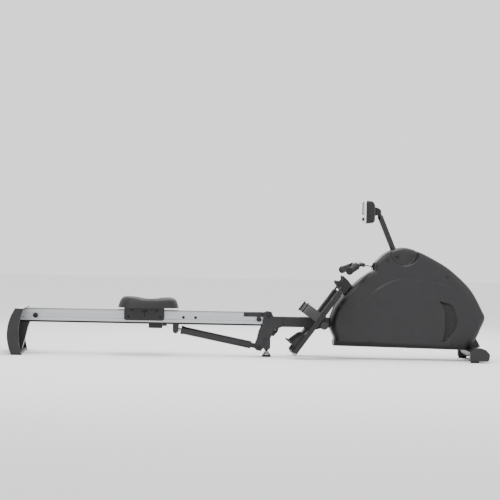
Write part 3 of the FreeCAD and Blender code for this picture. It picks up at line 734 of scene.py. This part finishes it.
class ROWER_OT_stage(bpy.types.Operator):
    """Pale floor, soft studio lights and the camera"""

    bl_idname = "rower.stage"
    bl_label = "Stage"

    def execute(self, context):
        self.floor()
        self.lights()
        self.camera()
        return {"FINISHED"}

    def floor(self):
        half = sizes().floor_size / 2
        mesh = bpy.data.meshes.new("floor")
        corners = [(-half, -half, 0), (half, -half, 0), (half, half, 0), (-half, half, 0)]
        mesh.from_pydata(corners, [], [(0, 1, 2, 3)])
        material, tree = blank("pale_floor")
        shade = (*sizes().floor_colour, 1.0)
        mesh.materials.append(surfaced(material, tree, {"Base Color": shade, "Roughness": 0.9}))
        in_scene("floor", mesh)

    def lights(self):
        world = bpy.data.worlds.new("studio")
        world.use_nodes = True
        background = world.node_tree.nodes["Background"]
        background.inputs["Color"].default_value = (1.0, 1.0, 1.0, 1.0)
        background.inputs["Strength"].default_value = WORLD_STRENGTH
        bpy.context.scene.world = world
        for name, place, size, power in LAMPS:
            data = bpy.data.lights.new(name, "AREA")
            data.size = size
            data.energy = power
            made = in_scene(name, data)
            made.location = place
            aim = Vector(LAMP_AIM) - Vector(place)
            made.rotation_euler = aim.to_track_quat("-Z", "Y").to_euler()

    def camera(self):
        data = bpy.data.cameras.new("camera")
        data.lens, data.sensor_width = CAMERA_LENS
        made = in_scene("camera", data)
        made.location = CAMERA_PLACE
        made.rotation_euler = [math.radians(v) for v in CAMERA_TURN]
        bpy.context.scene.camera = made


class ROWER_OT_housing(bpy.types.Operator):
    """Two moulded shells of the drive housing, with their trims, scoop and crease"""

    bl_idname = "rower.housing"
    bl_label = "Housing"

    def execute(self, context):
        rings = housing_rings()
        for word, side in SIDES:
            shell = self.shell(word, side, rings)
            placed(shell, "frame", "shroud_plastic", "shroud_" + word)
        self.shoulder_cover()
        self.base_band()
        self.slot_trim()
        return {"FINISHED"}

    def shell(self, word, side, rings):
        count = len(rings[0])
        verts = [(p.x, side * 0.4, p.y) for p, _ in rings[0]]
        for ring in rings:
            verts += [(p.x, side * housing_side(p.x, p.y, depth), p.y) for p, depth in ring]
        faces = rings_to_faces(len(rings) + 1, count)
        verts.append((HOUSING_MIDDLE.x, side * housing_side(*HOUSING_MIDDLE), HOUSING_MIDDLE.y))
        last = len(rings) * count
        faces += [(last + i, last + (i + 1) % count, len(verts) - 1) for i in range(count)]
        faces.append(tuple(range(count)))
        made = piece_from("housing_shell_" + word, verts, faces, "moulded_abs")
        crisp(made, 40)
        return made

    def wrapped(self, name, line, inwards, widths):
        """A thin cover that wraps round the housing's edge from one side to the other."""
        proud, sections = 0.8, []
        rises = ((1.0, -1.5), (0.97, 0.5), *((share, proud) for share in (0.9, 0.7, 0.45, 0.2, 0.05)))
        for p, inward, width in zip(line, inwards, widths):
            half = []
            for share, lift in rises:
                at = p + inward * width * share
                skin = housing_side(at.x, at.y, max(width * share - 0.3, 0))
                half.append((at.x, skin + lift, at.y))
            out = p - inward * proud
            half += [(out.x, HOUSING_EDGE - 1, out.y), (out.x, HOUSING_EDGE - 12, out.y), (out.x, 8, out.y)]
            sections.append([(x, -y, z) for x, y, z in half] + half[::-1])
        cover = lofted(name, sections, "dark_abs")
        placed(cover, "frame", "black_plastic")

    def shoulder_cover(self):
        """A dark cover over the sloping shoulder in front of the rower."""
        line = curved(HOUSING_SHOULDER, 10)[::-1]
        last = len(line) - 1
        inwards, widths = [], []
        for i in range(last + 1):
            ahead = (line[min(i + 1, last)] - line[max(i - 1, 0)]).normalized()
            inwards.append(Vector((-ahead.y, ahead.x)))
            widths.append(5 + 22 * ease(i / last, 0.0, 0.6) - 6 * ease(i / last, 0.75, 1.0))
        self.wrapped("shoulder_cover", line[1:-6], inwards[1:-6], widths[1:-6])

    def base_band(self):
        """A band along the housing's foot, wider towards the rower."""
        start, end, steps = Vector(HOUSING_SHOULDER[0]), Vector(HOUSING_CROWN[-1]), 60
        line = [start.lerp(end, 0.002 + 0.994 * k / steps) for k in range(steps + 1)]
        along = (end - start).normalized()
        up = Vector((-along.y, along.x))
        widths = [22 - 11 * k / steps for k in range(steps + 1)]
        self.wrapped("base_band", line, [up] * len(line), widths)

    def slot_trim(self):
        """Black lip round the slot that the mast leaves through."""
        line = [p for p in curved(HOUSING_CROWN, 12) if 588 < p.x < 742]
        profile = ((-22, -4), (-22, 1.2), (-18, 2.0), (18, 2.0), (22, 1.2), (22, -4))
        sections = [[(p.x, y, p.y + lift) for y, lift in profile] for p in line]
        trim = lofted("mast_slot_trim", sections, "dark_abs")
        placed(trim, "frame", "black_plastic")


class ROWER_OT_grilles(bpy.types.Operator):
    """Crescent honeycomb grilles, set back in the hollows on both sides of the housing"""

    bl_idname = "rower.grilles"
    bl_label = "Side grilles"

    def execute(self, context):
        cells = [point for _, side in SIDES for point in self.centres(side)]
        facings = [(0, math.copysign(1, y), 0) for _, y, _ in cells]
        shape = {"Cell Radius": sizes().cell_radius / MM, "Wall": 1.0, "Depth": 2.4}
        comb = grown("grille_cells", cell_tree("grille_nylon"), cells, facings, shape)
        placed(comb, "frame", "black_plastic")
        cheeks = joined("grille_cheeks", [self.cheek(word, side) for word, side in SIDES])
        placed(cheeks, "frame", "shroud_plastic")
        plate = joined("grille_plates", [self.plate(word, side) for word, side in SIDES])
        placed(plate, "frame", "black_plastic", "shroud_vents")
        return {"FINISHED"}

    def heights(self, low, high, steps):
        return [low + (high - low) * k / steps for k in range(steps + 1)]

    def plate(self, word, side):
        """The dark back plate of the grille."""
        sections = []
        for z in self.heights(91.0, 264.0, 60):
            front, back = grille_edges(z)
            xs = [front - 1 + (back - front + 2) * k / 6 for k in range(7)]
            high = ease(z, 170, 262)
            places = [(x, z - GRILLE_SLANT * (x - front) * high) for x in xs]
            face = [(x, side * (housing_side(x, up) + 0.8), up) for x, up in places]
            rear = [(x, side * (housing_side(x, up) - 3.0), up) for x, up in reversed(places)]
            sections.append(face + rear)
        return lofted("plate_" + word, sections, "dark_abs")

    def cheek(self, word, side):
        """A cheek that swells out in front of the grille and ends in a square ledge below."""
        sections = []
        for z in self.heights(87.0, 268.0, 60):
            front, _ = grille_edges(z)
            rise = CHEEK_RISE * (1 - ease(z, 205, 268))
            floor = housing_side(front + 2, z) - 1
            ring = []
            for k in range(15):
                x = CHEEK_START + (front - CHEEK_START) * k / 14
                skin = housing_skin(x, z, housing_depth(x, z))
                ring.append((x, skin - 0.5 + (rise + 0.5) * (k / 14) ** 1.4))
            top = ring[-1][1]
            ring += [(front + 0.9, top - 0.3), (front + 1.5, top - 1.2), (front + 1.5, min(floor, top - 1.5))]
            ring.append((CHEEK_START, ring[0][1] - 3.0))
            sections.append([(x, side * out, z) for x, out in ring])
        return lofted("cheek_" + word, sections, "moulded_abs")

    def centres(self, side):
        radius = sizes().cell_radius / MM
        across, up = radius * 1.5, radius * math.sqrt(3)
        found = []
        for i in range(18):
            x = 840 + i * across
            for k in range(28):
                z = 92 + (k + 0.5 * (i % 2)) * up
                front, back = grille_edges(z)
                top = 261 - GRILLE_SLANT * (x - front)
                if 94 < z < top and front + radius < x < back - radius * 0.6:
                    found.append((x, side * (housing_side(x, z) + 1.4), z))
        return found


class ROWER_OT_screws(bpy.types.Operator):
    """Button-head screws on the housing, mast, yoke, rail and seat carriage"""

    bl_idname = "rower.screws"
    bl_label = "Screws"

    def execute(self, context):
        tree = screw_tree("black_oxide")
        black = screw_tree("dark_abs")
        radius = sizes().screw_radius / MM
        housing = [(610, 441), (877, 372), (408, 232), (539, 78), (903, 74)]
        self.row("housing_screws", "frame", black, [(x, housing_side(x, z), z) for x, z in housing], radius)
        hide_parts("shroud_screws")
        self.row("yoke_bolts", "frame", tree, [(90, 47, 185), (49, 46, 45)], radius + 1.5)
        self.row("rail_screws", "rail", black, [(60, 34, 190), (-8, 34, 188)], 5.0)
        self.row("stop_bolts", "rail", black, [(x, 46, STOP_Z) for x in STOP_X], 6.5)
        self.row("mast_bolt", "frame", black, [(654, housing_side(654, 458), 458)], 9.0)
        plates = [(-515, 43, 196), (-406, 43, 196), (-531, 46, 167), (-388, 46, 167)]
        self.row("carriage_screws", "seat", black, plates, 4.6)
        return {"FINISHED"}

    def row(self, name, body, tree, places, radius):
        points, facings = [], []
        for x, y, z in places:
            for side in (-1, 1):
                points.append((x, side * y, z))
                facings.append((0, side, 0))
        shape = {"Head Radius": radius, "Head Height": radius * 0.5, "Socket Radius": radius * 0.45}
        made = grown(name, tree, points, facings, shape)
        placed(made, body, "zinc")


# How far in from its edge, and how high, each ring of the seat lies; those below zero are its underside
SEAT_PROFILE = (
    (-26, 214), (-14, 210.5), (0, 210.5), (2, 212), (3, 216), (5, 224), (9, 236), (14, 246), (20, 253),
    (24, 256.6), (27, 257.6), (28.5, 256.4), (30, 257.8), (35, 260.6), (45, 261.5), (57, 260.5),
    (70, 258.5), (84, 256.5), (98, 255), (112, 254), (124, 253.6),
)


class ROWER_OT_seat(bpy.types.Operator):
    """Moulded seat with a dished top and a flared skirt, and the backing in its carriage"""

    bl_idname = "rower.seat"
    bl_label = "Seat"

    def execute(self, context):
        low, high = (Vector(v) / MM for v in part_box("seat_pad"))
        middle = (low + high) / 2
        half_x, half_y = (high.x - low.x) / 2 - 1, (high.y - low.y) / 2 - 1
        sections = []
        for inset, z in SEAT_PROFILE:
            ring = []
            for a in full_turn(96):
                x, y = self.outline(a, half_x, half_y, abs(inset))
                drop = self.dish(x / half_x, y / half_y) * ease(z, 244, 258)
                ring.append((middle.x + x, y, z - drop))
            sections.append(ring)
        made = lofted("seat_cushion", sections, "moulded_urethane")
        smooth = made.modifiers.new("smooth", "SUBSURF")
        smooth.levels = smooth.render_levels = 1
        settled(made)
        crisp(made, 60)
        placed(made, "seat", "pad", "seat_pad")
        backing = joined("slot_backing", [
            block("backing", (-477, -443, *width, 166, 201), "dark_abs", 0.2)
            for width in both_sides(36.6, 37.9)])
        placed(backing, "seat", "black_plastic")
        return {"FINISHED"}

    def outline(self, a, half_x, half_y, inset):
        """A rounded rectangle, a little narrower at the front."""
        x, y = squared_point(a, 2 / 4.2, half_x - inset, half_y - inset)
        return x, y * (1 - 0.08 * ease(x, -20, half_x))

    def dish(self, u, v):
        """Two shallow hollows either side of a centre channel, and a scooped front."""
        hollows = 15 * math.exp(-((u + 0.05) / 0.5) ** 2) * math.exp(-((abs(v) - 0.42) / 0.36) ** 2)
        channel = 7 * math.exp(-(v / 0.14) ** 2) * math.exp(-(u / 0.7) ** 4)
        saddle = 9 * math.exp(-((u - 0.1) / 0.42) ** 2)
        return hollows + channel + saddle + 4 * ease(u, 0.2, 1.0)


STOP_X = (-941, 48)
STOP_Z = 167
RAIL_ENDS = (-1009, 71)
# The arc of the rear leg's back, seen from the side
REAR_LEG_CENTRE = Vector((-851.8632, 89.3435))
REAR_LEG_RADIUS = 202.1200


class ROWER_OT_rail(bpy.types.Operator):
    """Trims of the rail: end plugs, the rear leg's pale cap, lines, a top band of painted groove shade, and collars
    """

    bl_idname = "rower.rail"
    bl_label = "Rail trims"

    def execute(self, context):
        collar = turned("leveller_collar", [(85, 0, z) for z in (9.2, 9.4, 12, 18, 20, 24, 24.2)],
                        [10, 18.6, 18, 12.4, 11.6, 11.6, 6.5], "zinc_plate")
        placed(collar, "leveller", "zinc")
        cap = block("rear_leg_cap", (-1018, -986, -257, 257, 200.5, 204.5), "silver_lacquer", 1.6)
        placed(cap, "rail", "rail_alu")
        self.end_cap()
        plug = block("rail_front_plug", (70, 74, -29, 29, 147, 199), "dark_abs", 1.2)
        placed(plug, "rail", "black_plastic")
        self.lines()
        collars = joined("stop_collars", [
            turned("collar", [(x, side * y, STOP_Z) for y in (43.6, 43.7, 44.4, 46.6, 47.4, 47.5)],
                   [0.5, 10.2, 11.0, 11.0, 10.0, 0.5], "tyre_rubber")
            for x in STOP_X for side in (-1, 1)])
        placed(collars, "rail", "foot_rubber")
        return {"FINISHED"}

    def end_cap(self):
        """Closes the rear leg behind the rail's end, on the same curve as the leg's back."""
        centre = REAR_LEG_CENTRE
        sections = []
        for k in range(25):
            z = 159 + 39.5 * k / 24
            arc = centre.x - math.sqrt(REAR_LEG_RADIUS ** 2 - (z - centre.y) ** 2)
            back = min(arc, -1032.0 + 1.4 * max(z - 192.5, 0))
            half = ((back + 8, 36.6), (back + 1.2, 36.6), (back, 35.4))
            sections.append([(x, -y, z) for x, y in half] + [(x, y, z) for x, y in half[::-1]])
        cap = lofted("rail_end_cap", sections, "dark_abs")
        placed(cap, "rail", "black_plastic")

    def lines(self):
        """Raised extrusion lines along both faces of the rail, and a matt top band whose darker colour is painted
        shade of a groove.
        """
        lines, ribs = [], []
        for z, out in ((181.0, 30.0), (195.0, 30.0), (152.0, 33.0)):
            for width in both_sides(out - 0.2, out + 0.5):
                corners = (*RAIL_ENDS, *width, z - 0.6, z + 0.6)
                lines.append(block("line", corners, "brushed_aluminium", 0.2))
        # Thin darker bands along the top of both faces: painted shade of the groove along the top of the extrusion
        for width in both_sides(29.8, 30.4):
            ribs.append(block("rib", (*RAIL_ENDS, *width, 193.4, 199.4), "matt_groove_shade_aluminium", 0.2))
        for name, bars in (("rail_lines", lines), ("rail_groove_shade_bands", ribs)):
            made = joined(name, bars)
            placed(made, "rail", "rail_alu")


PEDAL_HEEL = (194.0, 23.0)
PEDAL_SLOPE = 53.9
PEDAL_Y = 145.0


def on_pedal(side):
    """Places a footrest drawn flat, x along it from the heel and z out of its face."""
    turn = Matrix.Rotation(-math.radians(PEDAL_SLOPE), 4, "Y")
    return Matrix.Translation((PEDAL_HEEL[0], side * PEDAL_Y, PEDAL_HEEL[1])) @ turn


class ROWER_OT_footrests(bpy.types.Operator):
    """Footplates' treads, ratchets, heel inserts, straps and buckles"""

    bl_idname = "rower.footrests"
    bl_label = "Footrests"

    def execute(self, context):
        tree = rib_tree("glass_filled_nylon")
        grey = rib_tree("heel_insert")
        for word, side in SIDES:
            place = on_pedal(side)
            out = place.to_3x3() @ Vector((0, 0, 1))
            body = "pedal_" + word
            treads = [place @ Vector((x, y, 1.0)) for x in range(168, 344, 12) for y in (-36, 36)]
            self.ribs("treads_" + word, tree, treads, out, (26, 4, 2.4), body)
            teeth = [place @ Vector((x, 0, 6.8)) for x in range(196, 360, 6)]
            self.ribs("ratchet_" + word, tree, teeth, out, (26, 2.6, 2.2), body)
            ribs = [place @ Vector((x, 0, 5.8)) for x in range(44, 116, 8)]
            self.ribs("heel_ribs_" + word, grey, ribs, out, (66, 3.4, 1.8), "heel_" + word)
            for name, y in (("inner", -1), ("outer", 1)):
                edge = (4, 342, *sorted((y * 52, y * 55)), -0.5, 7)
                lip = block("lip_%s_%s" % (name, word), edge, "glass_filled_nylon", 1.2, place)
                placed(lip, body, "black_plastic")
            trim = block("plate_end_" + word, (-2, 27, -51, 51, -15, 0.25), "pale_nylon", 1.5, place)
            placed(trim, body, "bezel_silver")
            self.strap(word, place, body)
        return {"FINISHED"}

    def ribs(self, name, tree, points, out, shape, body):
        measures = dict(zip(("Length", "Width", "Height"), shape))
        made = grown(name, tree, points, [out] * len(points), measures)
        placed(made, body, "black_plastic")

    def strap(self, word, place, body):
        """A webbing loop over the instep, with its buckle on top."""
        edge = ((173, 0), (175, 1.1), (195, 1.5), (215, 1.1), (217, 0), (215, -1.1), (195, -1.2), (175, -1.1))
        sections, steps = [], 40
        for k in range(steps + 1):
            a = math.pi * k / steps
            sag = 1.0 - 0.04 * math.sin(3 * a) ** 2
            section = []
            for x, grow in edge:
                half, rise = 53.4 + grow, 76.4 * sag + grow
                section.append(place @ Vector((x, half * math.cos(a), rise * math.sin(a) + 0.6)))
            sections.append(section)
        made = lofted("strap_" + word, sections, "nylon_webbing", woven_piece=True)
        placed(made, body, "webbing", "foot_strap_" + word)
        buckle = block("buckle_" + word, (170, 220, -16, 16, 75.5, 80.5), "dark_abs", 1.8, place)
        placed(buckle, body, "black_plastic")


class ROWER_OT_handle(bpy.types.Operator):
    """Foam grips, the pull cord and the roller it leaves the housing over"""

    bl_idname = "rower.handle"
    bl_label = "Handle and cord"

    def execute(self, context):
        self.grips()
        self.cord()
        roller = turned("guide_roller", [(550, y, 401) for y in (-16, -15.9, -12, 12, 15.9, 16)],
                        [0.5, 4.6, 3.8, 3.8, 4.6, 0.5], "zinc_plate")
        placed(roller, "frame", "zinc")
        return {"FINISHED"}

    def grips(self):
        """Two foam sleeves, waisted for the fingers, with a rim at each end."""
        start, end, grips = Vector((469.9, 112, 410.1)), Vector((433.9, 236, 392.1)), []
        waists = ((-0.01, 11.2), (-0.01, 15.4), (0.03, 15.8), (0.05, 14.0), (0.3, 15.2), (0.55, 14.4),
                  (0.8, 15.2), (0.98, 14.6), (1.0, 16.2), (1.06, 16.4), (1.08, 14.0), (1.085, 0.5))
        for side in (-1, 1):
            a, b = (Vector((p.x, side * p.y, p.z)) for p in (start, end))
            path = [a.lerp(b, share + 0.001 * i) for i, (share, _) in enumerate(waists)]
            grips.append(turned("grip", path, [radius for _, radius in waists], "closed_cell_foam"))
        made = joined("foam_grips", grips)
        placed(made, "handle", "foam", "handle_grips")

    def cord(self):
        """The cord is one straight run, stretched between the housing and the handle."""
        entry, along = Vector((556, 0, 409)), Vector((0.9862, 0, -0.1655)).normalized()
        start, inside, steps = -40.0, 110.0, 120
        radius = sizes().cord_diameter / 2 / MM
        path = [entry + along * (start + (inside - start) * k / steps) for k in range(steps + 1)]
        radii = [radius] * len(path)
        made = turned("pull_cord_run", path, radii, "braided_cord", 10, woven_piece=True)
        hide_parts("pull_cord")
        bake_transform(made)


class ROWER_OT_console(bpy.types.Operator):
    """Console: rounded back shell with its hinge ears, display and a raised frame round it"""

    bl_idname = "rower.console"
    bl_label = "Console"

    def execute(self, context):
        low, high = (Vector(v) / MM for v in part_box("console_bezel"))
        self.shell(low, high)
        self.display(low)
        return {"FINISHED"}

    def ring(self, x, middle, half_y, half_z):
        """One section of the console's back, a rounded rectangle."""
        places = (squared_point(a, 0.24, half_y, half_z) for a in full_turn(96))
        return [(x, y, middle + z) for y, z in places]

    def shell(self, low, high):
        """The console's back with its two hinge ears."""
        floor, back = high.x + 3, 553.0
        middle = (low.z + high.z) / 2
        half_y, half_z = high.y - 0.8, (high.z - low.z) / 2 - 0.8
        steps = (
            (floor, 14, 0), (floor, 9, 0), (high.x + 0.2, 8, 0), (high.x + 0.2, 1.2, 0), (high.x + 1, 0.4, 0),
            (floor, 0, 0), (535, 1.5, 0), (543, 4, -1), (548, 8, -2), (551, 12, -3), (552.6, 17, -3),
            (back, 24, -3), (back, 40, -3),
        )
        sections = [self.ring(x, middle + drop, half_y - inset, half_z - inset) for x, inset, drop in steps]
        pieces = [lofted("shell", sections, "dark_abs")]
        ear = [
            (548, 638), (560, 637), (576, 641), (583, 648), (584.5, 656), (581, 664), (572, 671), (558, 675),
            (548, 675),
        ]
        for side in (-1, 1):
            faces = [[(x, side * y, z) for x, z in ear] for y in (10.5, 15.2)]
            pieces.append(softened(lofted("ear", faces, "dark_abs"), 1.4))
        made = joined("console_shell", pieces)
        placed(made, "console", "black_plastic", "console_body")

    def display(self, low):
        """The panel and the raised frame round it."""
        corners = (low.x + 0.6, low.x + 1.8, -61.5, 61.5, 642.5, 693.5)
        glass = block("display_panel", corners, "display_glass", 0.4)
        placed(glass, "console", "bezel_silver")
        edges = ((-64, 64, 693, 696), (-64, 64, 640, 643), (-64, -61, 643, 693), (61, 64, 643, 693))
        frame_round = joined("display_frame", [
            block("bar", (low.x - 0.8, low.x + 2.0, *edge), "dark_abs", 0.7) for edge in edges])
        placed(frame_round, "console", "black_plastic")


NODE_FINISHES = {
    "powder_coat": """main_beam fold_yoke middle_leg front_stabilizer stabilizer_bracket drive_frame
        footrest_axle rail_bracket strut_bracket rear_leg strut_cylinder seat_pan carriage_sides
        latch_lever brake_magnets""",
    "zinc_plate": "drive_shafts strut_rod",
    "black_oxide": "pivot_pins roller_axles",
    "brushed_aluminium": "seat_rail",
    "moulded_abs": "rear_leg_cover stabilizer_caps",
    "dark_abs": "shroud_base cord_guide handle_rest rail_strip sensor_block drive_drum",
    "glass_filled_nylon": "footplate_left footplate_right heel_cup_left heel_cup_right",
    "tyre_rubber": """front_pads rear_pads leveller_foot rail_hardware drive_belt transport_wheel_left
        transport_wheel_right top_roller_rear top_roller_front low_rollers_rear low_rollers_front
        button_left button_middle button_right""",
    "silver_lacquer": "console_bezel",
    "machined_iron": "flywheel",
    "dark_chrome": "mast handle_bar",
}


class ROWER_OT_finishes(bpy.types.Operator):
    """Finishes on the structural pieces that keep their own shape"""

    bl_idname = "rower.finishes"
    bl_label = "Finishes"

    def execute(self, context):
        for material, names in NODE_FINISHES.items():
            for name in names.split():
                finish_node(name, material)
        return {"FINISHED"}


PIECES = (
    ROWER_OT_stage, ROWER_OT_housing, ROWER_OT_grilles, ROWER_OT_screws, ROWER_OT_seat, ROWER_OT_rail,
    ROWER_OT_footrests, ROWER_OT_handle, ROWER_OT_console, ROWER_OT_finishes,
)


class ROWER_PT_panel(bpy.types.Panel):
    """Lists the pieces that can be built"""

    bl_label = "Rowing Machine"
    bl_idname = "ROWER_PT_panel"
    bl_space_type = "VIEW_3D"
    bl_region_type = "UI"
    bl_category = "Rowing Machine"

    def draw(self, context):
        for name in RowerSizes.__annotations__:
            self.layout.prop(context.scene.rower_sizes, name)
        for piece in PIECES:
            self.layout.operator(piece.bl_idname)


def register():
    for one in (RowerSizes, *PIECES, ROWER_PT_panel):
        bpy.utils.register_class(one)
    bpy.types.Scene.rower_sizes = bpy.props.PointerProperty(type=RowerSizes)


def unregister():
    del bpy.types.Scene.rower_sizes
    for one in reversed((RowerSizes, *PIECES, ROWER_PT_panel)):
        bpy.utils.unregister_class(one)


def main():
    register()
    for piece in PIECES:
        group, name = piece.bl_idname.split(".")
        getattr(getattr(bpy.ops, group), name)()


if __name__ == "__main__":
    main()
